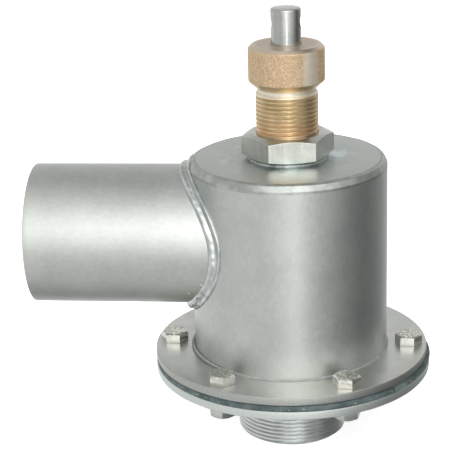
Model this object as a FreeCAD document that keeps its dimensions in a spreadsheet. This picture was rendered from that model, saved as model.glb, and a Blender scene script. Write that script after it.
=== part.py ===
import FreeCAD, Part
import math
import os
import Sketcher

# A spring-loaded safety valve: a welded stainless body with a wide side outlet stands on a
# bolted flange, and the threaded inlet nipple below carries the seat. The brass screw on top
# sets the load of the spring, and the stem lifts the valve disc.
# Millimetres, +Z up, origin at the middle of the inlet nipple's lower end, outlet along -X.

SIZES = {
    # inlet nipple and seat
    "nipple_radius": 29.8,
    "nipple_wall": 3.8,
    "nipple_length": 38.0,
    "nipple_lead": 1.5,
    "nipple_relief": 4.0,
    "nipple_neck_depth": 0.9,
    "nipple_weld": 1.8,
    "seat_rise": 15.0,
    "seat_lip": 2.2,
    "seat_cone": 4.0,
    # bolted flange
    "flange_margin": 9.9,
    "lower_flange_thickness": 4.5,
    "gasket_thickness": 3.0,
    "upper_flange_thickness": 4.5,
    "flange_edge": 0.5,
    "plate_shift": 0.8,
    "gasket_proud": 0.3,
    "bolt_offset": 12.0,
    "bolt_radius": 4.0,
    "bolt_clearance": 0.5,
    "bolt_length": 20.0,
    "bolt_point": 0.8,
    "bolt_flats": 13.0,
    "bolt_head_height": 5.3,
    "nut_height": 6.5,
    "hex_bevel": 0.5,
    # body
    "shell_radius": 53.1,
    "shell_wall": 2.5,
    "body_height": 106.9,
    "top_plate_thickness": 5.0,
    "top_plate_lap": 1.2,
    "rim_round": 3.0,
    "foot_weld": 0.8,
    # outlet
    "pipe_radius": 38.05,
    "pipe_wall": 2.0,
    "pipe_drop": 5.7,
    "pipe_reach": 139.2,
    "outlet_weld_upper_rise": 4.8,
    "outlet_weld_lower_rise": 2.8,
    "outlet_weld_width": 4.5,
    "outlet_weld_round": 2.4,
    # bush welded on the top plate
    "bush_flats": 43.0,
    "bush_height": 12.7,
    "bush_bevel": 0.3,
    "bush_stand": 1.5,
    "bush_spigot_wall": 2.3,
    "bush_weld_margin": 0.5,
    # adjusting screw
    "screw_radius": 16.62,
    "screw_stand": 23.9,
    "screw_thread_length": 48.0,
    "screw_end_chamfer": 1.5,
    "screw_neck_depth": 1.3,
    "screw_neck_length": 2.0,
    "head_radius": 20.25,
    "head_height": 23.1,
    "head_lower_chamfer": 4.0,
    "head_upper_chamfer": 2.0,
    # stem
    "stem_radius": 8.0,
    "stem_stand": 18.9,
    "stem_chamfer": 0.8,
    "stem_hole_radius": 3.4,
    "stem_hole_depth": 8.0,
    "journal_radius": 6.0,
    "journal_end": 2.0,
    # valve disc with its seal
    "disc_rim": 3.0,
    "disc_thickness": 5.0,
    "disc_chamfer": 1.0,
    "hub_height": 5.5,
    "seal_margin": 2.8,
    "seal_thickness": 4.0,
    "seal_proud": 1.0,
    "retainer_gap": 4.0,
    "retainer_thickness": 4.0,
    "stem_nut_flats": 18.0,
    "stem_nut_height": 7.0,
    # spring and its upper plate
    "spring_radius": 18.0,
    "wire_radius": 2.5,
    "spring_plate_margin": 2.0,
    "spring_plate_thickness": 5.0,
    "spring_plate_spigot": 5.0,
    # clearances on the radius
    "thread_clearance": 0.06,
    "guide_clearance": 0.06,
    "plate_clearance": 0.4,
    "spring_clearance": 0.5,
    "seat_clearance": 0.05,
}

BOLT_COUNT = 6
# How far each bolt head and each nut is turned, in degrees, from the bolt at +X on.
HEAD_TURNS = (53, 20, 8, 58, 37, 54)
NUT_TURNS = (12, 40, 25, 5, 32, 20)
BUSH_TURN = 10
SPRING_TURNS = 7.5
END_COIL_PITCH = 1.08
POINTS_PER_TURN = 12

document = FreeCAD.newDocument("safety_valve")
sheet = document.addObject("Spreadsheet::Sheet", "sizes")
for row, (name, value) in enumerate(SIZES.items(), start=1):
    sheet.set(f"A{row}", name)
    sheet.set(f"B{row}", str(value))
    sheet.setAlias(f"B{row}", name)
document.recompute()


class Size:
    """A length that keeps its number together with the sheet expression that it comes from."""

    def __init__(self, number, text):
        self.number = number
        self.text = text

    def joined(self, other, sign, number):
        text = other.text if isinstance(other, Size) else str(other)
        return Size(number, f"({self.text} {sign} {text})")

    def __add__(self, other):
        return self.joined(other, "+", self.number + plain(other))

    def __sub__(self, other):
        return self.joined(other, "-", self.number - plain(other))

    def __mul__(self, other):
        return self.joined(other, "*", self.number * plain(other))

    def __truediv__(self, other):
        return self.joined(other, "/", self.number / plain(other))

    def __neg__(self):
        return Size(-self.number, f"(-{self.text})")


def plain(value):
    return value.number if isinstance(value, Size) else value


class Sheet:
    """The driving sizes by name, read from the sheet."""

    def __getattr__(self, name):
        return Size(float(sheet.get(name)), f"sizes.{name}")


size = Sheet()

# Radii that follow from the driving sizes.
nipple_bore = size.nipple_radius - size.nipple_wall
nipple_neck = size.nipple_radius - size.nipple_neck_depth
bolt_hole = size.bolt_radius + size.bolt_clearance
shell_bore = size.shell_radius - size.shell_wall
bolt_circle = size.shell_radius + size.bolt_offset
flange_radius = bolt_circle + size.flange_margin
wide_radius = flange_radius + size.plate_shift
weld_inner = size.shell_radius - size.rim_round
plate_rim = shell_bore + size.top_plate_lap
bush_bore = size.screw_radius + size.thread_clearance
bush_spigot = bush_bore + size.bush_spigot_wall
plate_hole = bush_spigot + size.seat_clearance
guide_bore = size.stem_radius + size.guide_clearance
journal_bore = size.journal_radius + size.guide_clearance
hub_radius = size.spring_radius - size.wire_radius - size.spring_clearance
seat_outer = nipple_bore + size.seat_lip
seal_radius = seat_outer + size.seal_margin
disc_radius = seal_radius + size.disc_rim
retainer_radius = nipple_bore - size.retainer_gap

# Levels above the inlet's end, worked out from the stack of pieces.
lower_flange_top = size.nipple_length + size.lower_flange_thickness
gasket_top = lower_flange_top + size.gasket_thickness
flange_top = gasket_top + size.upper_flange_thickness
body_top = flange_top + size.body_height
shell_top = body_top - size.top_plate_thickness
round_foot = body_top - size.rim_round
pipe_axis = body_top - size.pipe_drop - size.pipe_radius
bush_foot = body_top + size.bush_stand
bush_top = bush_foot + size.bush_height
head_foot = bush_top + size.screw_stand
head_top = head_foot + size.head_height
screw_end = head_foot - size.screw_neck_length - size.screw_thread_length
seat_level = lower_flange_top + size.seat_rise
disc_foot = seat_level + size.seal_proud
seal_recess = size.seal_thickness - size.seal_proud
spring_foot = disc_foot + seal_recess + size.disc_thickness
hub_top = spring_foot + size.hub_height
spring_top = screw_end - size.spring_plate_thickness
retainer_foot = seat_level - size.retainer_thickness
stem_nut_foot = retainer_foot - size.stem_nut_height
stem_foot = stem_nut_foot - size.journal_end
stem_top = head_top + size.stem_stand


def new_body(label, level=None):
    """An empty body, raised to its level."""
    body = document.addObject("PartDesign::Body", label)
    body.Label = label
    if level is not None:
        body.setExpression("Placement.Base.z", level.text)
    return body


def new_sketch(body, name, plane):
    sketch = body.newObject("Sketcher::SketchObject", name)
    support = next(item for item in body.Origin.OriginFeatures if item.Role == plane)
    sketch.AttachmentSupport = [(support, "")]
    sketch.MapMode = "FlatFace"
    return sketch


def hold(sketch, kind, ends, length):
    """A dimension bound to the sheet."""
    index = sketch.addConstraint(Sketcher.Constraint(kind, *ends, plain(length)))
    sketch.setExpression(f"Constraints[{index}]", length.text)


def place_point(sketch, edge, end, across, up):
    """Holds one end of an edge, on an axis where a coordinate is 0."""
    for kind, axis, coordinate in (("DistanceX", -2, across), ("DistanceY", -1, up)):
        if isinstance(coordinate, Size):
            hold(sketch, kind, (-1, 1, edge, end), coordinate)
        else:
            sketch.addConstraint(Sketcher.Constraint("PointOnObject", edge, end, axis))


def outline(body, name, plane, corners):
    """A closed outline, anticlockwise. A corner with a third item starts an arc about that centre."""
    sketch = new_sketch(body, name, plane)
    spots = [FreeCAD.Vector(plain(corner[0]), plain(corner[1]), 0) for corner in corners]
    for index, corner in enumerate(corners):
        start = spots[index]
        stop = spots[(index + 1) % len(spots)]
        if len(corner) == 3:
            centre = FreeCAD.Vector(plain(corner[2][0]), plain(corner[2][1]), 0)
            circle = Part.Circle(centre, FreeCAD.Vector(0, 0, 1), (start - centre).Length)
            first = math.atan2(start.y - centre.y, start.x - centre.x)
            last = math.atan2(stop.y - centre.y, stop.x - centre.x)
            sketch.addGeometry(Part.ArcOfCircle(circle, first, last))
            hold(sketch, "DistanceX", (-1, 1, index, 3), corner[2][0])
        else:
            sketch.addGeometry(Part.LineSegment(start, stop))
    for index, corner in enumerate(corners):
        following = (index + 1) % len(corners)
        sketch.addConstraint(Sketcher.Constraint("Coincident", index, 2, following, 1))
        place_point(sketch, index, 1, corner[0], corner[1])
    return sketch


def circles(body, name, plane, radii, across=None, up=None):
    """Circles about one point, each bound to its radius."""
    sketch = new_sketch(body, name, plane)
    centre = FreeCAD.Vector(plain(across or 0), plain(up or 0), 0)
    for index, radius in enumerate(radii):
        sketch.addGeometry(Part.Circle(centre, FreeCAD.Vector(0, 0, 1), radius.number))
        place_point(sketch, index, 3, across, up)
        hold(sketch, "Radius", (index,), radius)
    return sketch


def hexagon(body, name, flats):
    """A regular hexagon with its first corner on the X axis."""
    sketch = new_sketch(body, name, "XY_Plane")
    corner_radius = hexagon_radius(flats)
    spots = [
        FreeCAD.Vector(
            corner_radius.number * math.cos(math.radians(60 * step)),
            corner_radius.number * math.sin(math.radians(60 * step)),
            0,
        )
        for step in range(6)
    ]
    for step in range(6):
        sketch.addGeometry(Part.LineSegment(spots[step], spots[(step + 1) % 6]))
    circle = sketch.addGeometry(Part.Circle(FreeCAD.Vector(), FreeCAD.Vector(0, 0, 1), corner_radius.number))
    sketch.setConstruction(circle, True)
    sketch.addConstraint(Sketcher.Constraint("Coincident", circle, 3, -1, 1))
    for step in range(6):
        sketch.addConstraint(Sketcher.Constraint("Coincident", step, 2, (step + 1) % 6, 1))
        sketch.addConstraint(Sketcher.Constraint("PointOnObject", step, 1, circle))
    for step in range(1, 6):
        sketch.addConstraint(Sketcher.Constraint("Equal", 0, step))
    sketch.addConstraint(Sketcher.Constraint("PointOnObject", 0, 1, -1))
    hold(sketch, "Radius", (circle,), corner_radius)
    return sketch


def hexagon_radius(flats):
    return Size(flats.number / 2 / math.cos(math.radians(30)), f"({flats.text} / 2 / cos(30 deg))")


def feature(body, kind, name, profile):
    made = body.newObject(f"PartDesign::{kind}", name)
    made.Profile = profile
    if kind in ("Revolution", "Groove"):
        made.ReferenceAxis = (profile, ["V_Axis"])
        made.Angle = 360
    return made


def pad(body, name, profile, length, downwards=False):
    made = feature(body, "Pad", name, profile)
    made.setExpression("Length", length.text)
    made.Reversed = downwards
    return made


def through_pocket(body, name, profile):
    made = feature(body, "Pocket", name, profile)
    made.Type = "ThroughAll"
    made.Midplane = True
    return made


def turned(label, corners, level=None):
    """A piece turned on a lathe: the outline in (radius, height) spun about the valve's axis."""
    body = new_body(label, level)
    feature(body, "Revolution", f"{label}_turning", outline(body, f"{label}_section", "XZ_Plane", corners))
    return body


def bevel_sizes(flats, bevel):
    """Inner radius, outer radius and depth of the 30 degree bevel that rounds a hexagon's corners."""
    inner = flats / 2 - bevel
    outer = hexagon_radius(flats) + bevel
    return inner, outer, (outer - inner) * math.tan(math.radians(30))


def bevel_upper(body, name, flats, bevel, height):
    inner, outer, depth = bevel_sizes(flats, bevel)
    corners = [(outer, height - depth), (outer, height), (inner, height)]
    feature(body, "Groove", name, outline(body, f"{name}_section", "XZ_Plane", corners))


def bevel_lower(body, name, flats, bevel):
    inner, outer, depth = bevel_sizes(flats, bevel)
    corners = [(inner, 0), (outer, 0), (outer, depth)]
    feature(body, "Groove", name, outline(body, f"{name}_section", "XZ_Plane", corners))


def find_edges(shape, test):
    return [f"Edge{number}" for number, edge in enumerate(shape.Edges, start=1) if test(edge)]


def is_circle(edge, radius):
    return isinstance(edge.Curve, Part.Circle) and abs(edge.Curve.Radius - radius) < 0.001


def flange_plate(label, outer, bore, thickness, level, edge=None, shift=0):
    """A flat ring with the bolt holes drilled through it, its rim shifted along X."""
    body = new_body(label, level)
    pad(body, f"{label}_disc", circles(body, f"{label}_outline", "XY_Plane", (outer,), shift, 0), thickness)
    through_pocket(body, f"{label}_opening", circles(body, f"{label}_bore", "XY_Plane", (bore,), 0, 0))
    hole_sketch = circles(body, f"{label}_hole", "XY_Plane", (bolt_hole,), bolt_circle, 0)
    hole = through_pocket(body, f"{label}_drilling", hole_sketch)
    pattern = body.newObject("PartDesign::PolarPattern", f"{label}_holes")
    pattern.Originals = [hole]
    pattern.Axis = (hole_sketch, ["N_Axis"])
    pattern.Angle = 360
    pattern.Occurrences = BOLT_COUNT
    body.Tip = pattern
    if edge is not None:
        document.recompute()
        chamfer = body.newObject("PartDesign::Chamfer", f"{label}_edge")
        rims = find_edges(pattern.Shape, lambda item: is_circle(item, outer.number))
        chamfer.Base = (pattern, rims)
        chamfer.setExpression("Size", edge.text)
    return body


# Inlet nipple: threaded outside, turned down where it passes the flange, its upper end the seat.
turned(
    "inlet_nipple",
    [
        (nipple_bore, 0),
        (size.nipple_radius - size.nipple_lead, 0),
        (size.nipple_radius, size.nipple_lead),
        (size.nipple_radius, size.nipple_length - size.nipple_relief),
        (nipple_neck, size.nipple_length - size.nipple_relief),
        (nipple_neck, seat_level - size.seat_cone),
        (seat_outer, seat_level),
        (nipple_bore, seat_level),
    ],
)

# Weld below the lower flange, round the nipple.
turned(
    "inlet_weld",
    [
        (nipple_neck, -size.nipple_weld),
        (nipple_neck + size.nipple_weld, 0),
        (nipple_neck, 0),
    ],
    size.nipple_length,
)

# The bolted joint: lower flange, rubber gasket and upper flange.
# The lower two are a little larger and stand out on the side away from the outlet.
flange_plate(
    "lower_flange",
    wide_radius,
    nipple_neck + size.seat_clearance,
    size.lower_flange_thickness,
    size.nipple_length,
    size.flange_edge,
    size.plate_shift,
)
flange_plate(
    "gasket",
    wide_radius + size.gasket_proud,
    shell_bore,
    size.gasket_thickness,
    lower_flange_top,
    shift=size.plate_shift,
)
flange_plate(
    "upper_flange",
    flange_radius,
    shell_bore,
    size.upper_flange_thickness,
    gasket_top,
    size.flange_edge,
)


def place_on_circle(body, step, turn, level):
    """Stands a fastener on the bolt circle."""
    angle = 360 / BOLT_COUNT * step
    body.Placement = FreeCAD.Placement(FreeCAD.Vector(), FreeCAD.Rotation(FreeCAD.Vector(0, 0, 1), turn))
    body.setExpression("Placement.Base.x", f"{bolt_circle.text} * cos({angle} deg)")
    body.setExpression("Placement.Base.y", f"{bolt_circle.text} * sin({angle} deg)")
    body.setExpression("Placement.Base.z", level.text)


def flange_bolt(label, step):
    """A hexagon head bolt, its seat at its origin and its shank below."""
    body = new_body(label)
    pad(body, f"{label}_head", hexagon(body, f"{label}_hexagon", size.bolt_flats), size.bolt_head_height)
    bevel_upper(body, f"{label}_bevel", size.bolt_flats, size.hex_bevel, size.bolt_head_height)
    shank = outline(
        body,
        f"{label}_shank_section",
        "XZ_Plane",
        [
            (0, -size.bolt_length),
            (size.bolt_radius - size.bolt_point, -size.bolt_length),
            (size.bolt_radius, size.bolt_point - size.bolt_length),
            (size.bolt_radius, 0),
            (0, 0),
        ],
    )
    feature(body, "Revolution", f"{label}_shank", shank)
    place_on_circle(body, step, HEAD_TURNS[step % len(HEAD_TURNS)], flange_top)
    return body


def flange_nut(label, step):
    """A hexagon nut, its lower face at its origin."""
    body = new_body(label)
    pad(body, f"{label}_block", hexagon(body, f"{label}_hexagon", size.bolt_flats), size.nut_height)
    bevel_upper(body, f"{label}_upper_bevel", size.bolt_flats, size.hex_bevel, size.nut_height)
    bevel_lower(body, f"{label}_lower_bevel", size.bolt_flats, size.hex_bevel)
    bore = circles(body, f"{label}_bore", "XY_Plane", (size.bolt_radius + size.thread_clearance,), 0, 0)
    through_pocket(body, f"{label}_tapping", bore)
    place_on_circle(body, step, NUT_TURNS[step % len(NUT_TURNS)], size.nipple_length - size.nut_height)
    return body


for step in range(BOLT_COUNT):
    flange_bolt(f"flange_bolt_{step + 1}", step)
    flange_nut(f"flange_nut_{step + 1}", step)

# Body shell: a tube rolled from sheet, with the outlet's round hole in its side.
shell = new_body("body_shell", flange_top)
shell_rings = circles(shell, "body_shell_outline", "XY_Plane", (size.shell_radius, shell_bore), 0, 0)
pad(shell, "body_shell_tube", shell_rings, size.body_height - size.top_plate_thickness)
outlet_hole = circles(
    shell, "outlet_hole", "YZ_Plane", (size.pipe_radius - size.pipe_wall,), 0, pipe_axis - flange_top
)
outlet_cut = feature(shell, "Pocket", "outlet_cut", outlet_hole)
outlet_cut.setExpression("Length", (size.shell_radius + size.shell_wall).text)

# Top plate: its bevelled rim laps onto the shell's end, and a weld with a round edge fills the corner.
turned(
    "top_plate",
    [
        (plate_hole, 0),
        (plate_rim, 0),
        (weld_inner, size.top_plate_thickness),
        (plate_hole, size.top_plate_thickness),
    ],
    shell_top,
)
turned(
    "rim_weld",
    [
        (plate_rim, 0),
        (size.shell_radius, 0),
        (size.shell_radius, round_foot - shell_top, (weld_inner, round_foot - shell_top)),
        (weld_inner, size.top_plate_thickness),
    ],
    shell_top,
)

# Weld round the shell's foot.
turned(
    "foot_weld",
    [
        (size.shell_radius, 0),
        (size.shell_radius + size.foot_weld, 0),
        (size.shell_radius, size.foot_weld),
    ],
    flange_top,
)

# Outlet pipe: a tube cut to a saddle that fits the shell's outside.
pipe = new_body("outlet_pipe", pipe_axis)
pipe_rings = circles(
    pipe, "outlet_pipe_outline", "YZ_Plane", (size.pipe_radius, size.pipe_radius - size.pipe_wall), 0, 0
)
pad(pipe, "outlet_pipe_tube", pipe_rings, size.pipe_reach, downwards=True)
through_pocket(pipe, "outlet_pipe_saddle", circles(pipe, "saddle", "XY_Plane", (size.shell_radius,), 0, 0))

# Outlet weld: the thick bead that fills the corner between pipe and shell, all the way round.
# It is the space that a wider pipe and a wider shell share, rounded, less the pipe and the body.
# The wider pipe lies a little high, so the bead is thickest on top and runs up to the rim.
AGAINST_X = FreeCAD.Placement(FreeCAD.Vector(), FreeCAD.Rotation(FreeCAD.Vector(0, 1, 0), -90))
weld_lift = (size.outlet_weld_upper_rise - size.outlet_weld_lower_rise) / 2
weld_pipe = document.addObject("Part::Cylinder", "weld_pipe")
weld_pipe.Placement = AGAINST_X
weld_pipe.setExpression("Radius", (size.pipe_radius + size.outlet_weld_lower_rise + weld_lift).text)
weld_pipe.setExpression("Height", size.pipe_reach.text)
weld_pipe.setExpression("Placement.Base.z", (pipe_axis + weld_lift).text)
weld_shell = document.addObject("Part::Cylinder", "weld_shell")
weld_shell.setExpression("Radius", (size.shell_radius + size.outlet_weld_width).text)
weld_shell.setExpression("Height", (body_top + size.pipe_radius).text)
weld_block = document.addObject("Part::Common", "weld_block")
weld_block.Base = weld_pipe
weld_block.Tool = weld_shell
document.recompute()
rounding = size.outlet_weld_round.number
weld_round = document.addObject("Part::Fillet", "weld_round")
weld_round.Base = weld_block
weld_round.Edges = [
    (number, rounding, rounding)
    for number, edge in enumerate(weld_block.Shape.Edges, start=1)
    if edge.BoundBox.XMax < -1 and edge.BoundBox.YLength > size.pipe_radius.number
]
pipe_form = document.addObject("Part::Cylinder", "pipe_form")
pipe_form.Placement = AGAINST_X
pipe_form.setExpression("Radius", size.pipe_radius.text)
pipe_form.setExpression("Height", size.pipe_reach.text)
pipe_form.setExpression("Placement.Base.z", pipe_axis.text)
body_form = turned(
    "body_form",
    [
        (0, 0),
        (size.shell_radius, 0),
        (size.shell_radius, round_foot - flange_top, (weld_inner, round_foot - flange_top)),
        (weld_inner, size.body_height),
        (weld_inner, size.body_height + size.pipe_radius),
        (0, size.body_height + size.pipe_radius),
    ],
    flange_top,
)
inner_forms = document.addObject("Part::Fuse", "inner_forms")
inner_forms.Base = pipe_form
inner_forms.Tool = body_form
outlet_weld = document.addObject("Part::Cut", "outlet_weld")
outlet_weld.Label = "outlet_weld"
outlet_weld.Base = weld_round
outlet_weld.Tool = inner_forms

# Threaded bush: a hexagon with a round spigot let into the top plate and welded round its foot.
bush = new_body("threaded_bush", bush_foot)
pad(bush, "bush_block", hexagon(bush, "bush_hexagon", size.bush_flats), size.bush_height)
bevel_upper(bush, "bush_upper_bevel", size.bush_flats, size.bush_bevel, size.bush_height)
bevel_lower(bush, "bush_lower_bevel", size.bush_flats, size.bush_bevel)
spigot_circle = circles(bush, "bush_spigot_outline", "XY_Plane", (bush_spigot,), 0, 0)
pad(bush, "bush_spigot", spigot_circle, size.bush_stand + size.top_plate_thickness, downwards=True)
through_pocket(bush, "bush_tapping", circles(bush, "bush_bore", "XY_Plane", (bush_bore,), 0, 0))
bush.Placement = FreeCAD.Placement(FreeCAD.Vector(), FreeCAD.Rotation(FreeCAD.Vector(0, 0, 1), BUSH_TURN))
bush.setExpression("Placement.Base.z", bush_foot.text)
turned(
    "bush_weld",
    [
        (plate_hole, 0),
        (size.bush_flats / 2 + size.bush_weld_margin, 0),
        (size.bush_flats / 2 + size.bush_weld_margin - size.bush_stand, size.bush_stand),
        (plate_hole, size.bush_stand),
    ],
    body_top,
)

# Adjusting screw: brass, threaded, with a round chamfered head, bored to guide the stem.
head_start = size.screw_thread_length + size.screw_neck_length
turned(
    "adjusting_screw",
    [
        (guide_bore, 0),
        (size.screw_radius - size.screw_end_chamfer, 0),
        (size.screw_radius, size.screw_end_chamfer),
        (size.screw_radius, size.screw_thread_length),
        (size.screw_radius - size.screw_neck_depth, size.screw_thread_length),
        (size.screw_radius - size.screw_neck_depth, head_start),
        (size.head_radius - size.head_lower_chamfer, head_start),
        (size.head_radius, head_start + size.head_lower_chamfer),
        (size.head_radius, head_start + size.head_height - size.head_upper_chamfer),
        (size.head_radius - size.head_upper_chamfer, head_start + size.head_height),
        (guide_bore, head_start + size.head_height),
    ],
    screw_end,
)

# Upper spring plate: pressed on by the screw's end, with a spigot that centres the spring.
spring_plate_radius = size.spring_radius + size.wire_radius + size.spring_plate_margin
turned(
    "upper_spring_plate",
    [
        (size.stem_radius + size.plate_clearance, -size.spring_plate_spigot),
        (hub_radius, -size.spring_plate_spigot),
        (hub_radius, 0),
        (spring_plate_radius, 0),
        (spring_plate_radius, size.spring_plate_thickness),
        (size.stem_radius + size.plate_clearance, size.spring_plate_thickness),
    ],
    spring_top,
)

# Valve disc: a hub on top centres the spring, and a recess below holds the seal.
disc_top = seal_recess + size.disc_thickness
turned(
    "valve_disc",
    [
        (journal_bore, seal_recess),
        (seal_radius + size.seat_clearance, seal_recess),
        (seal_radius + size.seat_clearance, 0),
        (disc_radius, 0),
        (disc_radius, disc_top - size.disc_chamfer),
        (disc_radius - size.disc_chamfer, disc_top),
        (hub_radius, disc_top),
        (hub_radius, disc_top + size.hub_height),
        (journal_bore, disc_top + size.hub_height),
    ],
    disc_foot,
)
turned(
    "seat_seal",
    [
        (journal_bore, 0),
        (seal_radius, 0),
        (seal_radius, size.seal_thickness),
        (journal_bore, size.seal_thickness),
    ],
    seat_level,
)
turned(
    "seal_retainer",
    [
        (journal_bore, 0),
        (retainer_radius - size.disc_chamfer, 0),
        (retainer_radius, size.disc_chamfer),
        (retainer_radius, size.retainer_thickness),
        (journal_bore, size.retainer_thickness),
    ],
    retainer_foot,
)

# Nut that clamps the disc, seal and retainer against the stem's shoulder.
stem_nut = new_body("stem_nut", stem_nut_foot)
stem_nut_hexagon = hexagon(stem_nut, "stem_nut_hexagon", size.stem_nut_flats)
pad(stem_nut, "stem_nut_block", stem_nut_hexagon, size.stem_nut_height)
bevel_lower(stem_nut, "stem_nut_bevel", size.stem_nut_flats, size.hex_bevel)
stem_nut_bore = circles(stem_nut, "stem_nut_bore", "XY_Plane", (journal_bore,), 0, 0)
through_pocket(stem_nut, "stem_nut_tapping", stem_nut_bore)

# Stem: a shoulder seats on the disc's hub, and a cross hole near the top takes a lifting pin.
stem = turned(
    "stem",
    [
        (0, 0),
        (size.journal_radius - size.stem_chamfer, 0),
        (size.journal_radius, size.stem_chamfer),
        (size.journal_radius, hub_top - stem_foot),
        (size.stem_radius, hub_top - stem_foot),
        (size.stem_radius, stem_top - stem_foot - size.stem_chamfer),
        (size.stem_radius - size.stem_chamfer, stem_top - stem_foot),
        (0, stem_top - stem_foot),
    ],
    stem_foot,
)
cross_hole = circles(
    stem, "cross_hole", "YZ_Plane", (size.stem_hole_radius,), 0, stem_top - stem_foot - size.stem_hole_depth
)
through_pocket(stem, "cross_drilling", cross_hole)


def coil_height(turn, length, turns):
    """Height of the wire's centre: a closed turn at each end and even coils between."""
    closed = 2 * size.wire_radius.number * END_COIL_PITCH
    pitch = (length - 2 * closed) / (turns - 2)
    if turn < 1:
        return closed * turn
    if turn > turns - 1:
        return length - closed * (turns - turn)
    return closed + pitch * (turn - 1)


def spring_shape():
    """Round wire along a coil, its closed ends ground flat."""
    length = spring_top.number - spring_foot.number
    radius = size.spring_radius.number
    wire = size.wire_radius.number
    steps = round(SPRING_TURNS * POINTS_PER_TURN)
    points = []
    for step in range(steps + 1):
        turn = step / POINTS_PER_TURN
        angle = 2 * math.pi * turn
        height = coil_height(turn, length, SPRING_TURNS)
        points.append(FreeCAD.Vector(radius * math.cos(angle), radius * math.sin(angle), height))
    line = Part.BSplineCurve()
    line.interpolate(points)
    path = Part.Wire(line.toShape())
    section = Part.Wire(Part.makeCircle(wire, points[0], line.tangent(line.FirstParameter)[0]))
    coil = path.makePipeShell([section], True, True)
    return coil.common(Part.makeCylinder(radius + 2 * wire, length))


spring = document.addObject("Part::Feature", "spring")
spring.Label = "spring"
spring.Shape = spring_shape()
spring.Placement = FreeCAD.Placement(FreeCAD.Vector(0, 0, spring_foot.number), FreeCAD.Rotation())

document.recompute()
for item in document.Objects:
    if "Invalid" in item.State or "Error" in item.State:
        raise RuntimeError(f"{item.Label} did not build: {item.State}")

bodies = [item for item in document.Objects if item.TypeId == "PartDesign::Body" and item != body_form]
os.makedirs("parts", exist_ok=True)
for item in bodies + [outlet_weld, spring]:
    shape = item.Shape
    if shape.isNull() or not shape.isValid():
        raise RuntimeError(f"{item.Label} has no valid shape")
    shape.exportStep(f"parts/{item.Label}.step")
    print(item.Label, len(shape.Solids), round(shape.Volume, 1))
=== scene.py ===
import math

import bmesh
import bpy
from mathutils import Matrix, Vector, noise


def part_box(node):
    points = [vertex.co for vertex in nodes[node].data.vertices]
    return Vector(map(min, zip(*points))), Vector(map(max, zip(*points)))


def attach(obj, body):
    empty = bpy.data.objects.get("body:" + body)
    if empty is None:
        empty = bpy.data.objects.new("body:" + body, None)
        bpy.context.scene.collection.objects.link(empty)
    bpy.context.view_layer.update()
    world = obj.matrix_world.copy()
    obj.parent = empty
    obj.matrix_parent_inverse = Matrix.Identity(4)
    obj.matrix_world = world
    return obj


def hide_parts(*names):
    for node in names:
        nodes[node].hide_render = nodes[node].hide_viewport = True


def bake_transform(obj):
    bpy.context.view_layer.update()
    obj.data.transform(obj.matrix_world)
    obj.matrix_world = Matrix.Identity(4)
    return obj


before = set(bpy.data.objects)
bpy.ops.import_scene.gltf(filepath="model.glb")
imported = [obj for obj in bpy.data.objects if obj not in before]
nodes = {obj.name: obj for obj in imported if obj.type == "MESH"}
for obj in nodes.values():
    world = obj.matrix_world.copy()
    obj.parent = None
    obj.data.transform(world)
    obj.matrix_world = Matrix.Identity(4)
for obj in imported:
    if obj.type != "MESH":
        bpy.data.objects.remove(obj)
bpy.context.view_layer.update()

# Inlet nipple: a length of thick stainless pipe with a right-handed pipe thread rolled on it.
# It is turned down above the thread, where it passes the lower flange, and its upper end is the
# valve's seat. It has an even satin finish and a plain bore.
MM = 0.001
THREAD_PITCH = 2.309 * MM
THREAD_DEPTH = 1.30 * MM
THREAD_CREST = 0.42
THREAD_ROOT = 0.12
ROWS_PER_PITCH = 18
NIPPLE_THREAD = 34.0 * MM
NIPPLE_BORE = 26.0 * MM
NIPPLE_NECK = 28.9 * MM
SEAT_LIP = 1.2 * MM
SEAT_CONE = 4.0 * MM
NIPPLE_STEPS = 160
SEAT_EDGE = 0.3 * MM
LOWER_EDGE = 0.6 * MM
NEAR = 0.01 * MM
SAME_SPOT = 0.001 * MM
SMOOTH_ANGLE = 32


class Wire:
    """One output of a node. An expression on wires adds the Math nodes that work it out."""

    def __init__(self, finish, socket):
        self.finish = finish
        self.socket = socket

    def __add__(self, other):
        return self.finish.maths("ADD", self, other)

    def __radd__(self, other):
        return self.finish.maths("ADD", other, self)

    def __sub__(self, other):
        return self.finish.maths("SUBTRACT", self, other)

    def __rsub__(self, other):
        return self.finish.maths("SUBTRACT", other, self)

    def __mul__(self, other):
        return self.finish.maths("MULTIPLY", self, other)

    def __rmul__(self, other):
        return self.finish.maths("MULTIPLY", other, self)

    def __truediv__(self, other):
        return self.finish.maths("DIVIDE", self, other)

    def __rtruediv__(self, other):
        return self.finish.maths("DIVIDE", other, self)


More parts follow.
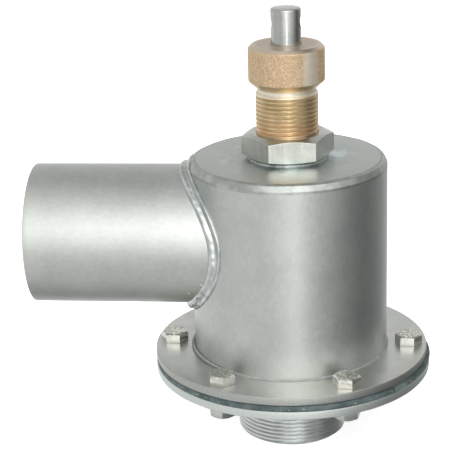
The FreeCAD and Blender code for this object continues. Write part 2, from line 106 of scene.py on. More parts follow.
class Finish:
    """A material in the making, on the object's own coordinates in metres."""

    def __init__(self, name, **constants):
        self.material = bpy.data.materials.new(name)
        self.material.use_nodes = True
        self.tree = self.material.node_tree
        self.shader = self.tree.nodes["Principled BSDF"]
        for socket, value in constants.items():
            self.shader.inputs[socket.replace("_", " ")].default_value = value
        self.place = self.node("TexCoord", {}, {}, output=3)

    def node(self, kind, settings, sockets, output=0):
        """Makes a node: its settings first, then the values or wires of its sockets."""
        made = self.tree.nodes.new(f"ShaderNode{kind}")
        for setting, value in settings.items():
            setattr(made, setting, value)
        for socket, value in sockets.items():
            if isinstance(value, Wire):
                self.tree.links.new(value.socket, made.inputs[socket])
            else:
                made.inputs[socket].default_value = value
        return Wire(self, made.outputs[output])

    def maths(self, operation, *values):
        return self.node("Math", {"operation": operation}, dict(enumerate(values)))

    def mix(self, first, second, factor):
        """From the first colour at 0 to the second at 1."""
        colours = {6: colour_of(first), 7: colour_of(second), 0: factor}
        return self.node("Mix", {"data_type": "RGBA"}, colours, output=2)

    def stretched(self, scales):
        return self.node("VectorMath", {"operation": "MULTIPLY"}, {0: self.place, 1: scales})

    def noise(self, place, scale, detail=3.0, roughness=0.55):
        sockets = {"Vector": place, "Scale": scale, "Detail": detail, "Roughness": roughness}
        return self.node("TexNoise", {}, sockets)

    def between(self, value, low, high):
        """0 below low, 1 above high, and smooth between them."""
        sockets = {0: value, 1: low, 2: high, 3: 0.0, 4: 1.0}
        return self.node("MapRange", {"interpolation_type": "SMOOTHSTEP"}, sockets)

    def axes(self, place=None):
        made = self.node("SeparateXYZ", {}, {0: place or self.place})
        outputs = made.socket.node.outputs
        return [Wire(self, outputs[index]) for index in range(3)]

    def radius(self, centre=(0, 0, 0)):
        """Distance from the valve's axis, or from an axis beside it."""
        moved = self.node("VectorMath", {"operation": "SUBTRACT"}, {0: self.place, 1: tuple(centre)})
        across, along, _ = self.axes(moved)
        return self.maths("SQRT", across * across + along * along)

    def around(self, radius_scale, height_scale):
        """Coordinates for lines that run round the valve's axis."""
        across, along, up = self.axes()
        turn = self.maths("ARCTAN2", along, across)
        return self.node("CombineXYZ", {}, {0: turn, 1: self.radius() * radius_scale, 2: up * height_scale})

    def paint(self, colour, roughness, height=None, depth=0.0):
        """Joins the wires to the shader. The height is in parts of the depth, in metres."""
        for socket, value in (("Base Color", colour), ("Roughness", roughness)):
            if isinstance(value, Wire):
                self.tree.links.new(value.socket, self.shader.inputs[socket])
            else:
                self.shader.inputs[socket].default_value = colour_of(value)
        if height is not None:
            bump = self.node("Bump", {}, {"Height": height, "Distance": depth, "Strength": 1.0})
            self.tree.links.new(bump.socket, self.shader.inputs["Normal"])
        return self.material


def colour_of(value):
    return (*value, 1.0) if isinstance(value, tuple) and len(value) == 3 else value


def metal(name, light, dark, roughness, spread, lines, depth, patch_scale=60, line_scale=3, duller=None):
    """Tone and gloss vary in patches, with fine lines left by the making. Duller adds to the roughness."""
    finish = Finish(name, Metallic=1.0)
    patches = finish.noise(finish.place, patch_scale, detail=6.0, roughness=0.72)
    marks = finish.noise(lines(finish), line_scale, detail=3.0)
    tone = patches * 0.65 + marks * 0.35
    gloss = roughness + (tone - 0.5) * spread
    if duller:
        gloss = gloss + duller(finish)
    return finish.paint(finish.mix(dark, light, finish.between(tone, 0.36, 0.64)), gloss, marks, depth)


def mesh_of(form, name):
    """Turns a bmesh into a mesh and frees it."""
    mesh = bpy.data.meshes.new(name)
    form.to_mesh(mesh)
    form.free()
    return mesh


def linked(name, data):
    """Makes an object for that data and puts it in the scene."""
    made = bpy.data.objects.new(name, data)
    bpy.context.scene.collection.objects.link(made)
    return made


def new_piece(form, name, body, material, smooth=SMOOTH_ANGLE):
    """Makes a finished bmesh a piece, and lets it ride on its body if one is named."""
    bmesh.ops.remove_doubles(form, verts=form.verts, dist=SAME_SPOT)
    bmesh.ops.recalc_face_normals(form, faces=form.faces)
    mesh = mesh_of(form, name)
    mesh.shade_smooth()
    mesh.set_sharp_from_angle(angle=math.radians(smooth))
    mesh.materials.append(material)
    piece = linked(name, mesh)
    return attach(piece, body) if body else piece


def rounded(corners, arc_steps=4):
    """A closed outline of (radius, height) points and (radius, height, rounding) corners."""
    points = []
    for index, spot in enumerate(corners):
        corner = Vector(spot[:2])
        rounding = spot[2] if len(spot) > 2 else 0
        if rounding == 0:
            points.append(corner)
            continue
        before = Vector(corners[index - 1][:2]) - corner
        after = Vector(corners[(index + 1) % len(corners)][:2]) - corner
        half = before.angle(after) / 2
        reach = min(rounding / math.tan(half), before.length * 0.49, after.length * 0.49)
        first = corner + before.normalized() * reach
        last = corner + after.normalized() * reach
        centre = corner + (before.normalized() + after.normalized()).normalized() * reach / math.cos(half)
        for step in range(arc_steps + 1):
            along = first.lerp(last, step / arc_steps) - centre
            points.append(centre + along.normalized() * (first - centre).length)
    return points


def spin_round(form, ring, axis, steps):
    """Joins a ring of points up and spins it once about an axis through the origin."""
    loop = [form.edges.new((ring[index - 1], ring[index])) for index in range(len(ring))]
    bmesh.ops.spin(
        form,
        geom=ring + loop,
        cent=(0, 0, 0),
        axis=axis,
        angle=2 * math.pi,
        steps=steps,
        use_merge=True,
    )


def lathe(points, steps):
    """Spins a closed outline of (radius, height) points about the valve's axis."""
    form = bmesh.new()
    rail = [form.verts.new((point[0], 0, point[1])) for point in points]
    spin_round(form, rail, (0, 0, 1), steps)
    bmesh.ops.remove_doubles(form, verts=form.verts, dist=SAME_SPOT)
    return form


def from_axis(place):
    """Distance from the valve's axis."""
    return math.hypot(place.x, place.y)


def widen(vertex, ratio):
    """Moves a vertex straight away from the valve's axis, or towards it."""
    vertex.co.x *= ratio
    vertex.co.y *= ratio


def push(form, reach):
    """Moves each vertex straight out from the valve's axis by what reach says."""
    for vertex in form.verts:
        far = from_axis(vertex.co)
        if far > 0:
            widen(vertex, 1 + reach(vertex.co, far) / far)


def threaded(form, crest, low, high, pitch=THREAD_PITCH, depth=THREAD_DEPTH):
    """Cuts a right-handed thread into the rows between low and high, chamfered at both ends."""
    for vertex in form.verts:
        far = from_axis(vertex.co)
        if abs(far - crest) > NEAR or not low <= vertex.co.z <= high:
            continue
        turn = vertex.co.z / pitch - math.atan2(vertex.co.y, vertex.co.x) / (2 * math.pi)
        ramp = (abs(2 * (turn % 1) - 1) - THREAD_CREST) / (1 - THREAD_CREST - THREAD_ROOT)
        groove = depth * min(max(ramp, 0), 1)
        lead = min(vertex.co.z - low, high - vertex.co.z)
        wanted = min(crest - groove, crest - depth + lead)
        widen(vertex, wanted / far)


def thread_rows(crest, low, high, pitch=THREAD_PITCH):
    """Close rows of points up the cylinder that a thread is cut into."""
    rows = round((high - low) / pitch * ROWS_PER_PITCH)
    return [(crest, low + (high - low) * row / rows) for row in range(rows + 1)]


nipple_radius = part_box("inlet_nipple")[1].x
seat_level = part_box("inlet_nipple")[1].z
nipple_form = lathe(
    rounded([
        (NIPPLE_BORE, seat_level, SEAT_EDGE),
        (NIPPLE_BORE, 0, LOWER_EDGE),
        *thread_rows(nipple_radius, 0, NIPPLE_THREAD),
        (NIPPLE_NECK, NIPPLE_THREAD),
        (NIPPLE_NECK, seat_level - SEAT_CONE),
        (NIPPLE_BORE + SEAT_LIP, seat_level, SEAT_EDGE),
    ]),
    NIPPLE_STEPS,
)
threaded(nipple_form, nipple_radius, 0, NIPPLE_THREAD)
nipple_steel = metal(
    "nipple_steel",
    light=(0.76, 0.78, 0.77),
    dark=(0.64, 0.66, 0.66),
    roughness=0.32,
    spread=0.10,
    lines=lambda finish: finish.around(40, 600),
    depth=0.008 * MM,
)
nipple = new_piece(nipple_form, "threaded_nipple", "valve_body", nipple_steel)
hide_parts("inlet_nipple")

# Weld rings: thin fillets of bare weld metal that run round the nipple under the flange, round
# the shell's foot and round the bush's foot. Each is laid by hand in short overlapping ripples,
# which are all but smooth on the dull, hollow ring at the shell's foot.
WELD_STEPS = 360
RIPPLE_COUNT_PER_MM = 0.45
RIPPLE_DEPTH = 0.09 * MM
WELD_LUMP = 0.14 * MM
WELD_SINK = 0.2 * MM
WELD_CROWN = 0.8 * MM
WELD_EDGE = 0.05 * MM
OUTLET_SIDE_GROWTH = 3.2
FAR_SIDE_GROWTH = 0.8


def weld_metal(name, dull, bright, gloss):
    """Bare weld metal: silvery ripples with faint straw and grey heat tints."""
    finish = Finish(name, Metallic=1.0)
    patches = finish.noise(finish.place, 160, detail=4.0)
    tint = finish.noise(finish.place, 45, detail=2.0)
    pits = finish.noise(finish.place, 1400, detail=3.0)
    silver = finish.mix(dull, bright, finish.between(patches, 0.35, 0.65))
    warm = finish.mix(silver, (0.60, 0.57, 0.48), finish.between(tint, 0.52, 0.75) * 0.5)
    return finish.paint(warm, gloss + patches * 0.16, patches * 0.7 + pits * 0.3, 0.05 * MM)


weld_steel = weld_metal("weld_steel", (0.54, 0.57, 0.57), (0.72, 0.75, 0.74), 0.22)
dull_weld = weld_metal("dull_weld", (0.45, 0.48, 0.46), (0.54, 0.57, 0.55), 0.52)
# The bush's weld is darker than the others: heat tint, and painted shade under the hexagon's overhang.
tinted_shaded_weld = weld_metal("tinted_shaded_weld", (0.28, 0.32, 0.32), (0.56, 0.59, 0.56), 0.42)


def foot_growth(angle):
    """The foot weld is broadest under the outlet, and a little broader opposite it."""
    return 1 + (OUTLET_SIDE_GROWTH if math.cos(angle) < 0 else FAR_SIDE_GROWTH) * math.cos(angle) ** 2


def weld_ring(
    name, node, wall, level, leg, up, material, full=0.62, swelling=1.0, growth=lambda angle: 1
):
    """A fillet between a wall of that radius and a plate at that level, hollow if full is under 0.5."""
    reach = wall + leg
    crown = (wall + leg * full, level + up * leg * full)
    root = wall - WELD_SINK
    foot = level - up * WELD_SINK
    outline = rounded([
        (root, foot),
        (reach, foot),
        (reach, level),
        (*crown, WELD_CROWN),
        (wall, level + up * leg),
        (root, level + up * leg),
    ])
    form = lathe(outline, WELD_STEPS)
    ripples = 2 * math.pi * reach / MM * RIPPLE_COUNT_PER_MM
    middle = Vector((wall, level))
    for vertex in form.verts:
        far = from_axis(vertex.co)
        out = Vector((far, vertex.co.z)) - middle
        if far < wall + WELD_EDGE or out.y * up < WELD_EDGE:
            continue
        angle = math.atan2(vertex.co.y, vertex.co.x)
        swell = RIPPLE_DEPTH * abs(math.sin(angle * ripples / 2 + out.y / leg))
        swell += WELD_LUMP * noise.noise(vertex.co * 180)
        moved = middle + out * growth(angle) + out.normalized() * swell * swelling
        widen(vertex, moved.x / far)
        vertex.co.z = moved.y
    ring = new_piece(form, name, "valve_body", material, smooth=60)
    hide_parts(node)
    return ring


flange_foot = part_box("lower_flange")[0].z
flange_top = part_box("upper_flange")[1].z
shell_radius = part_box("body_shell")[1].x
lid_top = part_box("top_plate")[1].z
inlet_leg = flange_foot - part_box("inlet_weld")[0].z
foot_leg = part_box("foot_weld")[1].z - flange_top
weld_ring("nipple_weld", "inlet_weld", NIPPLE_NECK, flange_foot, inlet_leg, -1, weld_steel)
weld_ring(
    "shell_foot_weld", "foot_weld", shell_radius, flange_top, foot_leg, 1, dull_weld,
    full=0.36, swelling=0.15, growth=foot_growth,
)

# Flanges: two round stainless plates, cut out of 4.5 mm sheet, with a dull mill finish on their
# faces and a rough, finely striped cut edge. Six bolt holes pass through both.
PLATE_STEPS = 240
PLATE_EDGE = 0.4 * MM
EDGE_WAVE = 0.10 * MM
BOLT_COUNT = 6
BOLT_HOLE = 4.5 * MM
HOLE_STEPS = 40
BORE_EDGE = 0.2 * MM
NECK_GAP = 0.05 * MM

bolt_low, bolt_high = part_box("flange_bolt_1")
bolt_circle = (bolt_low.x + bolt_high.x) / 2
SHELL_WALL = 2.5 * MM
shell_bore = shell_radius - SHELL_WALL


def cut_away(piece, cutters):
    """Cuts each cutter out of the piece, and leaves no modifier behind."""
    for form in cutters:
        bmesh.ops.recalc_face_normals(form, faces=form.faces)
        mesh = mesh_of(form, "cutter")
        cutter = linked("cutter", mesh)
        cut = piece.modifiers.new("cut", "BOOLEAN")
        cut.operation = "DIFFERENCE"
        cut.solver = "EXACT"
        cut.object = cutter
        result = bpy.data.meshes.new_from_object(piece.evaluated_get(bpy.context.evaluated_depsgraph_get()))
        piece.modifiers.remove(cut)
        old = piece.data
        piece.data = result
        bpy.data.meshes.remove(old)
        bpy.data.objects.remove(cutter)
        bpy.data.meshes.remove(mesh)
    piece.data.set_sharp_from_angle(angle=math.radians(SMOOTH_ANGLE))
    return piece


def rod(radius, start, stop, steps):
    """A plain round bar from one point to another, for cutting holes."""
    form = bmesh.new()
    span = Vector(stop) - Vector(start)
    turn = span.to_track_quat("Z", "Y").to_matrix().to_4x4()
    place = Matrix.Translation((Vector(start) + Vector(stop)) / 2) @ turn
    bmesh.ops.create_cone(
        form, cap_ends=True, segments=steps, radius1=radius, radius2=radius, depth=span.length, matrix=place
    )
    return form


def plate_size(node):
    """The middle and the radius of a round plate's rim."""
    low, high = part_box(node)
    return (low + high) / 2, (high.x - low.x) / 2


def plate_metal(name, node, light, dark, rim_light, rim_dark):
    """Mill finish on the flat, with faint rolling lines and dull grey-green and rosy patches."""
    finish = Finish(name, Metallic=1.0)
    middle, radius = plate_size(node)
    patches = finish.noise(finish.place, 34, detail=6.0, roughness=0.72)
    rolling = finish.noise(finish.stretched((0.08, 1.0, 1.0)), 900, detail=3.0)
    tint = finish.noise(finish.place, 11, detail=2.0)
    grain = finish.noise(finish.place, 2600, detail=2.0)
    edge = finish.between(finish.radius(middle), radius - 0.35 * MM, radius - 0.1 * MM)
    stripes = finish.noise(finish.around(0, 90), 60, detail=3.0, roughness=0.7)
    flat = finish.mix(dark, light, finish.between(patches, 0.36, 0.64))
    flat = finish.mix(flat, (0.56, 0.52, 0.47), finish.between(tint, 0.48, 0.66) * 0.5)
    rim = finish.mix(rim_dark, rim_light, finish.between(stripes, 0.3, 0.7))
    gloss = 0.30 + edge * 0.16 + (patches - 0.5) * 0.14
    height = rolling * 0.3 + grain * 0.3 + stripes * edge * 1.2
    return finish.paint(finish.mix(flat, rim, edge), gloss, height, 0.03 * MM)


def shift_rim(form, inside, shift, reach):
    """Makes the rim wavy, and shifts all that lies further out than inside along X."""
    rim = [vertex for vertex in form.verts if from_axis(vertex.co) > inside]
    push(form, lambda place, far: reach(place) if far > inside else 0)
    bmesh.ops.translate(form, verts=rim, vec=(shift, 0, 0))


def bolt_spot(step, level):
    """Where a bolt's axis is at that level, counted round from the bolt at +X."""
    angle = 2 * math.pi * step / BOLT_COUNT
    return Vector((bolt_circle * math.cos(angle), bolt_circle * math.sin(angle), level))


def flange(name, node, bore, material):
    """A plate with its holes, the cut edge a little wavy."""
    low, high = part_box(node)
    middle, radius = plate_size(node)
    form = lathe(
        rounded([
            (bore, high.z, BORE_EDGE),
            (bore, low.z, BORE_EDGE),
            (radius, low.z, PLATE_EDGE),
            (radius, high.z, PLATE_EDGE),
        ]),
        PLATE_STEPS,
    )
    shift_rim(form, radius - 1 * MM, middle.x, lambda place: EDGE_WAVE * (noise.noise(place * 90) - 0.4))
    piece = new_piece(form, name, "valve_body", material)
    holes = [
        rod(BOLT_HOLE, bolt_spot(step, low.z - MM), bolt_spot(step, high.z + MM), HOLE_STEPS)
        for step in range(BOLT_COUNT)
    ]
    cut_away(piece, holes)
    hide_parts(node)
    return piece


PLATE_TONES = ((0.72, 0.73, 0.70), (0.60, 0.61, 0.58))
# The lower plate's cut edge is painted lighter than the upper one's: painted light thrown up from the floor.
FLOOR_LIT_RIM_TONES = ((0.80, 0.84, 0.82), (0.58, 0.62, 0.60))
UPPER_RIM_TONES = ((0.59, 0.60, 0.57), (0.37, 0.385, 0.365))
lower_steel = plate_metal("lower_flange_steel", "lower_flange", *PLATE_TONES, *FLOOR_LIT_RIM_TONES)
upper_steel = plate_metal("upper_flange_steel", "upper_flange", *PLATE_TONES, *UPPER_RIM_TONES)
flange("flange_lower_plate", "lower_flange", NIPPLE_NECK + NECK_GAP, lower_steel)
flange("flange_upper_plate", "upper_flange", shell_bore, upper_steel)

# Gasket: a ring cut by hand out of dark rubber sheet, squeezed between the flanges so that its
# edge bulges and wanders a little. Fine pale specks of filler show on the cut edge.
GASKET_BULGE = 0.35 * MM
GASKET_WANDER = 0.5 * MM
GASKET_EDGE = 0.2 * MM
GASKET_ROUND = 2.5 * MM


def gasket_rubber():
    finish = Finish("gasket_rubber", Metallic=0.0, Specular_IOR_Level=0.45)
    cells = {"Vector": finish.stretched((1.0, 1.0, 1.6)), "Scale": 620.0}
    near = finish.node("TexVoronoi", {"feature": "F1"}, cells)
    choice = finish.noise(finish.place, 330, detail=1.0)
    _, _, up = finish.axes()
    row = 1 - finish.between(finish.maths("ABSOLUTE", up - gasket_middle.z), 0.3 * MM, 0.8 * MM)
    speck = (1 - finish.between(near, 0.16, 0.34)) * finish.between(choice, 0.47, 0.56) * row
    patches = finish.noise(finish.place, 120, detail=3.0)
    dark = finish.mix((0.030, 0.045, 0.046), (0.075, 0.10, 0.10), finish.between(patches, 0.3, 0.7))
    pale = finish.mix(dark, (0.42, 0.47, 0.45), speck * 0.8)
    return finish.paint(pale, 0.42 + patches * 0.2, patches * 0.5 - speck * 0.2, 0.12 * MM)


gasket_low, gasket_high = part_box("gasket")
gasket_middle, gasket_radius = plate_size("gasket")
gasket_form = lathe(
    rounded([
        (shell_bore, gasket_high.z),
        (shell_bore, gasket_low.z),
        (gasket_radius - GASKET_BULGE, gasket_low.z, GASKET_EDGE),
        (gasket_radius, gasket_middle.z, GASKET_ROUND),
        (gasket_radius - GASKET_BULGE, gasket_high.z, GASKET_EDGE),
    ]),
    PLATE_STEPS,
)
shift_rim(
    gasket_form,
    gasket_radius - 3 * MM,
    gasket_middle.x,
    lambda place: GASKET_WANDER * (noise.noise(place * 45) - 0.2),
)
gasket = new_piece(gasket_form, "gasket_ring", "valve_body", gasket_rubber())
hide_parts("gasket")

# Bolts and nuts: M8 stainless hexagon bolts put in from above, with plain nuts below. Heads and
# nuts are cold forged, so their corners are soft, their chamfers round and their faces mottled.
# What is below the flanges is painted darker, a painted shade under the plates.
BOLT_FLATS = 13.0 * MM
BOLT_RADIUS = 4.0 * MM
BOLT_PITCH = 1.25 * MM
BOLT_THREAD_DEPTH = 0.72 * MM
HEX_CHAMFER = (0.45 * MM, math.tan(math.radians(30)))
HEX_FLAT = (0.45 * MM, 0)
HEX_EDGE = 0.22 * MM
HEX_STEPS = 72
NUT_BORE = 4.06 * MM
SHANK_STEPS = 32
SHANK_SINK = 0.2 * MM


def hex_radius(angle, flats):
    """How far a hexagon's side is from its middle in that direction, its first corner being at 0."""
    return flats / 2 / math.cos(angle % (math.pi / 3) - math.pi / 6)


def hex_form(flats, low, high, bore, top, foot, edge):
    """A bored hexagon with soft edges. Top and foot are how far in each chamfer starts, and its slope."""
    inner, below = flats / 2 - top[0], flats / 2 - foot[0]
    outline = [(bore, high), (bore, low), (below, low), (flats / 2, low), (flats / 2, high), (inner, high)]
    form = lathe(outline, HEX_STEPS)
    for vertex in form.verts:
        far = from_axis(vertex.co)
        if far < flats / 2 - NEAR:
            continue
        reach = hex_radius(math.atan2(vertex.co.y, vertex.co.x), flats)
        widen(vertex, reach / far)
        if vertex.co.z > (low + high) / 2:
            vertex.co.z -= (reach - inner) * top[1]
        else:
            vertex.co.z += (reach - below) * foot[1]
    creases = [item for item in form.edges if item.calc_face_angle(0) > math.radians(24)]
    bmesh.ops.bevel(
        form,
        geom=creases,
        offset=edge,
        segments=2,
        profile=0.5,
        affect="EDGES",
        material=-1,
        clamp_overlap=True,
    )
    return form


def merged(*forms):
    """Several closed forms in one."""
    whole = forms[0]
    for form in forms[1:]:
        mesh = mesh_of(form, "part")
        whole.from_mesh(mesh)
        bpy.data.meshes.remove(mesh)
    return whole


def placed(form, spot, turn):
    """Turns a form that was made about the valve's axis and moves it to its spot."""
    bmesh.ops.rotate(form, verts=form.verts, cent=(0, 0, 0), matrix=Matrix.Rotation(turn, 3, "Z"))
    bmesh.ops.translate(form, verts=form.verts, vec=spot)
    return form


def fastener_metal():
    finish = Finish("fastener_steel", Metallic=1.0)
    mottle = finish.noise(finish.place, 700, detail=3.0, roughness=0.65)
    patches = finish.noise(finish.place, 110, detail=2.0)
    grain = finish.noise(finish.place, 3200, detail=2.0)
    _, _, up = finish.axes()
    top = finish.between(up, bolt_high.z - 0.9 * MM, bolt_high.z - 0.3 * MM)
    mottled = finish.mix((0.40, 0.39, 0.34), (0.95, 0.95, 0.88), finish.between(mottle, 0.38, 0.62))
    clean = finish.mix((0.66, 0.66, 0.61), (0.82, 0.82, 0.77), finish.between(mottle, 0.3, 0.7))
    tone = finish.mix(clean, mottled, top)
    tone = finish.mix(tone, (0.66, 0.60, 0.46), finish.between(patches, 0.52, 0.72) * 0.5)
    # Painted shade: the bolt ends and nuts under the lower flange are darkened to a dull teal.
    below = 1 - finish.between(up, flange_foot - 0.4 * MM, flange_foot)
    tone = finish.mix(tone, (0.40, 0.46, 0.46), below * 0.5)
    return finish.paint(tone, 0.18 + mottle * 0.14, mottle * (0.25 + top) + grain * 0.2, 0.12 * MM)


def hex_turn(node):
    """The angle that a hexagonal node's first corner is turned by, read from its own mesh."""
    low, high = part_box(node)
    middle = (low + high) / 2
    corners = [vertex.co - middle for vertex in nodes[node].data.vertices]
    corner = max(corners, key=lambda place: round(from_axis(place), 6))
    return math.atan2(corner.y, corner.x)


fastener_steel = fastener_metal()
head_height = bolt_high.z - flange_top
bolt_end = bolt_low.z - flange_top
shank_outline = [
    (0, SHANK_SINK),
    (0, bolt_end),
    *thread_rows(BOLT_RADIUS, bolt_end, 0, BOLT_PITCH),
    (BOLT_RADIUS, SHANK_SINK),
]
for step in range(1, BOLT_COUNT + 1):
    spot = bolt_spot(step - 1, flange_top)
    shank = lathe(shank_outline, SHANK_STEPS)
    threaded(shank, BOLT_RADIUS, bolt_end, 0, BOLT_PITCH, BOLT_THREAD_DEPTH)
    head = hex_form(BOLT_FLATS, 0, head_height, 0, HEX_CHAMFER, HEX_FLAT, HEX_EDGE)
    bolt_form = placed(merged(head, shank), spot, hex_turn(f"flange_bolt_{step}"))
    bolt = new_piece(bolt_form, f"hexagon_bolt_{step}", "valve_body", fastener_steel)
    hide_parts(f"flange_bolt_{step}")
    nut_low, nut_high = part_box(f"flange_nut_{step}")
    spot.z = nut_low.z
    nut_height = nut_high.z - nut_low.z
    nut_form = hex_form(BOLT_FLATS, 0, nut_height, NUT_BORE, HEX_CHAMFER, HEX_CHAMFER, HEX_EDGE)
    nut_form = placed(nut_form, spot, hex_turn(f"flange_nut_{step}"))
    nut = new_piece(nut_form, f"hexagon_nut_{step}", "valve_body", fastener_steel)
    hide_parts(f"flange_nut_{step}")

# Body shell: stainless sheet rolled into a tube and polished to an even satin, with the outlet's
# round hole in its side. Faint grey-green clouds show in the satin, which is duller at the foot.
SHELL_STEPS = 256
PIPE_WALL = 2.0 * MM
DULL_FOOT = (2 * MM, 22 * MM)

pipe_low, pipe_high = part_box("outlet_pipe")
pipe_radius = (pipe_high.z - pipe_low.z) / 2
pipe_axis = (pipe_high.z + pipe_low.z) / 2
shell_low, shell_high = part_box("body_shell")
shell_form = lathe(
    [
        (shell_bore, shell_high.z),
        (shell_bore, shell_low.z),
        (shell_radius, shell_low.z),
        (shell_radius, shell_high.z),
    ],
    SHELL_STEPS,
)


def dull_foot(finish):
    """The polish fades out close above the flange."""
    _, _, up = finish.axes()
    return (1 - finish.between(up, flange_top + DULL_FOOT[0], flange_top + DULL_FOOT[1])) * 0.10


satin_steel = metal(
    "shell_steel",
    light=(0.625, 0.635, 0.61),
    dark=(0.53, 0.56, 0.545),
    roughness=0.40,
    spread=0.12,
    patch_scale=34,
    lines=lambda finish: finish.stretched((1.0, 1.0, 0.6)),
    line_scale=560,
    depth=0.014 * MM,
    duller=dull_foot,
)
shell = new_piece(shell_form, "rolled_shell", "valve_body", satin_steel)
hole_end = (-2 * shell_radius, 0, pipe_axis)
cut_away(shell, [rod(pipe_radius - PIPE_WALL, (0, 0, pipe_axis), hole_end, SHELL_STEPS)])
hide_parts("body_shell")

# Lid: a brushed stainless plate let into the shell's end, with blue-grey and pale heat marks and darker
# patches of painted shade round the bush. The weld at its rim is ground by hand to a steep bevel below a
# soft, wavering ridge.
RIM_WANDER = 0.22 * MM
GROOVE_WIDTH = 0.12 * MM
GROOVE_DEPTH = 0.30 * MM
# From the shell up to the flat: how far in and how far down each corner of the bevel is.
RIM_CORNERS = ((0, 3.6 * MM), (1.35 * MM, 0.7 * MM), (3.3 * MM, 0))
HEAT_MARK_AND_SHADE = (25 * MM, 41 * MM)
LID_BORE = 19.05 * MM

lid_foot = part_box("top_plate")[0].z
seam = shell_radius - RIM_CORNERS[-1][0]


def rim_inset(height):
    """How far the bevel is inside the shell's outside at that height."""
    depth = lid_top - height
    for (inset, low), (next_inset, high) in zip(RIM_CORNERS, RIM_CORNERS[1:]):
        if depth > high:
            return inset + (next_inset - inset) * max(0.0, low - depth) / (low - high)
    return RIM_CORNERS[-1][0]


def lid_finish():
    finish = Finish("plate_steel", Metallic=1.0)
    patches = finish.noise(finish.place, 30, detail=4.0)
    brushed = finish.noise(finish.stretched((0.06, 1.0, 1.0)), 1500, detail=3.0)
    clouds = finish.noise(finish.place, 130, detail=3.0)
    smears = finish.noise(finish.stretched((1.0, 0.5, 1.0)), 80, detail=3.0)
    tone = patches * 0.6 + brushed * 0.4
    near = 1 - finish.between(finish.radius() + (clouds - 0.5) * (14 * MM), *HEAT_MARK_AND_SHADE)
    steel = finish.mix((0.52, 0.54, 0.52), (0.60, 0.62, 0.60), finish.between(tone, 0.3, 0.7))
    # Painted shade: darker grey patches near the bush's foot, where the hexagon's shade falls.
    painted_shade_patches = finish.mix(steel, (0.40, 0.41, 0.40), near * (1 - finish.between(clouds, 0.38, 0.52)) * 0.4)
    blue = finish.mix(painted_shade_patches, (0.46, 0.56, 0.57), near * finish.between(clouds, 0.44, 0.60) * 0.8)
    marked = finish.mix(blue, (0.76, 0.86, 0.85), near * finish.between(smears, 0.48, 0.62) * 0.7)
    return finish.paint(marked, 0.34 + tone * 0.12, brushed, 0.012 * MM)


lid_form = lathe(
    rounded([
        (LID_BORE, lid_top, 0.2 * MM),
        (LID_BORE, lid_foot),
        (shell_bore - 1 * MM, lid_foot),
        (seam - GROOVE_WIDTH / 2, lid_top - GROOVE_DEPTH),
        (seam - GROOVE_WIDTH / 2, lid_top, 0.05 * MM),
    ]),
    SHELL_STEPS,
)
lid = new_piece(lid_form, "lid_plate", "valve_body", lid_finish())
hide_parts("top_plate")
rim_form = lathe(
    rounded([
        (shell_bore, lid_foot),
        (shell_radius, lid_foot),
        *[(shell_radius - inset, lid_top - depth, 0.8 * MM) for inset, depth in RIM_CORNERS[:2]],
        (seam + GROOVE_WIDTH / 2, lid_top, 0.2 * MM),
        (seam + GROOVE_WIDTH / 2, lid_top - GROOVE_DEPTH),
    ], arc_steps=8),
    SHELL_STEPS,
)
for vertex in rim_form.verts:
    out = from_axis(vertex.co) - seam - 0.2 * MM
    up = vertex.co.z - lid_foot
    if out > 0:
        share = min(1.0, out / MM, up / MM)
        sink = RIM_WANDER * share * (noise.noise(vertex.co * 75) + 0.5 * noise.noise(vertex.co * 260))
        vertex.co *= 1 + sink / vertex.co.length
rim_steel = weld_metal("rim_steel", (0.42, 0.44, 0.42), (0.55, 0.57, 0.55), 0.34)
rim = new_piece(rim_form, "ground_rim", "valve_body", rim_steel, smooth=50)
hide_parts("rim_weld")

# Outlet pipe: a thin stainless tube with a satin finish, cut square at its mouth and to a saddle
# where it meets the shell. A few beads of weld spatter and a short scratch mark it near the weld.
PIPE_STEPS = 200
PIPE_ROWS = 24

mouth = pipe_low.x


def saddle(across, height):
    """Where the body's outside is, out along the pipe, at that place across it."""
    body = shell_radius - rim_inset(height)
    return -math.sqrt(max(0.0, body ** 2 - across ** 2))


def pipe_form():
    """Spun about its own axis, then its inner end is drawn onto the shell."""
    bore = pipe_radius - PIPE_WALL
    rows = [mouth + (pipe_high.x - mouth) * row / PIPE_ROWS for row in range(1, PIPE_ROWS)]
    form = lathe(
        rounded([
            (bore, mouth, 0.4 * MM),
            (pipe_radius, mouth, 0.5 * MM),
            *[(pipe_radius, row) for row in rows],
            (pipe_radius, 0),
            (bore, 0),
            *[(bore, row) for row in reversed(rows)],
        ]),
        PIPE_STEPS,
    )
    bmesh.ops.rotate(form, verts=form.verts, cent=(0, 0, 0), matrix=Matrix.Rotation(math.pi / 2, 3, "Y"))
    bmesh.ops.translate(form, verts=form.verts, vec=(0, 0, pipe_axis))
    for vertex in form.verts:
        end = saddle(vertex.co.y, vertex.co.z)
        share = (vertex.co.x - mouth) / -mouth
        if share > 0.01:
            vertex.co.x = mouth + (end - mouth) * share
    return form


pipe_steel = metal(
    "pipe_steel",
    light=(0.64, 0.655, 0.625),
    dark=(0.55, 0.57, 0.55),
    roughness=0.39,
    spread=0.12,
    patch_scale=30,
    lines=lambda finish: finish.stretched((0.6, 1.0, 1.0)),
    line_scale=560,
    depth=0.014 * MM,
)
pipe = new_piece(pipe_form(), "outlet_tube", "valve_body", pipe_steel)
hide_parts("outlet_pipe")

# Outlet weld: one heavy bead laid by hand round the pipe. It is broad and smooth over the top,
# where it runs up to the rim, narrower at the sides, and lumpy and overlapped underneath.
BEAD_STEPS = 420
BEAD_POINTS = 26
BEAD_SINK = 0.12 * MM
# How far the bead's root lies inside the joint, in millimetres.
BEAD_ROOT = 0.8
# Across the bead: where its steep side ends, and how high the flat first run and the ridge beside
# the shell are, in parts of its height on the shell. The ridge begins and is highest at RIDGE_SPAN.
BEAD_SIDE = 0.07
RUN_HEIGHT = 0.44
RIDGE_HEIGHT = 1.12
RIDGE_SPAN = (0.54, 0.86)
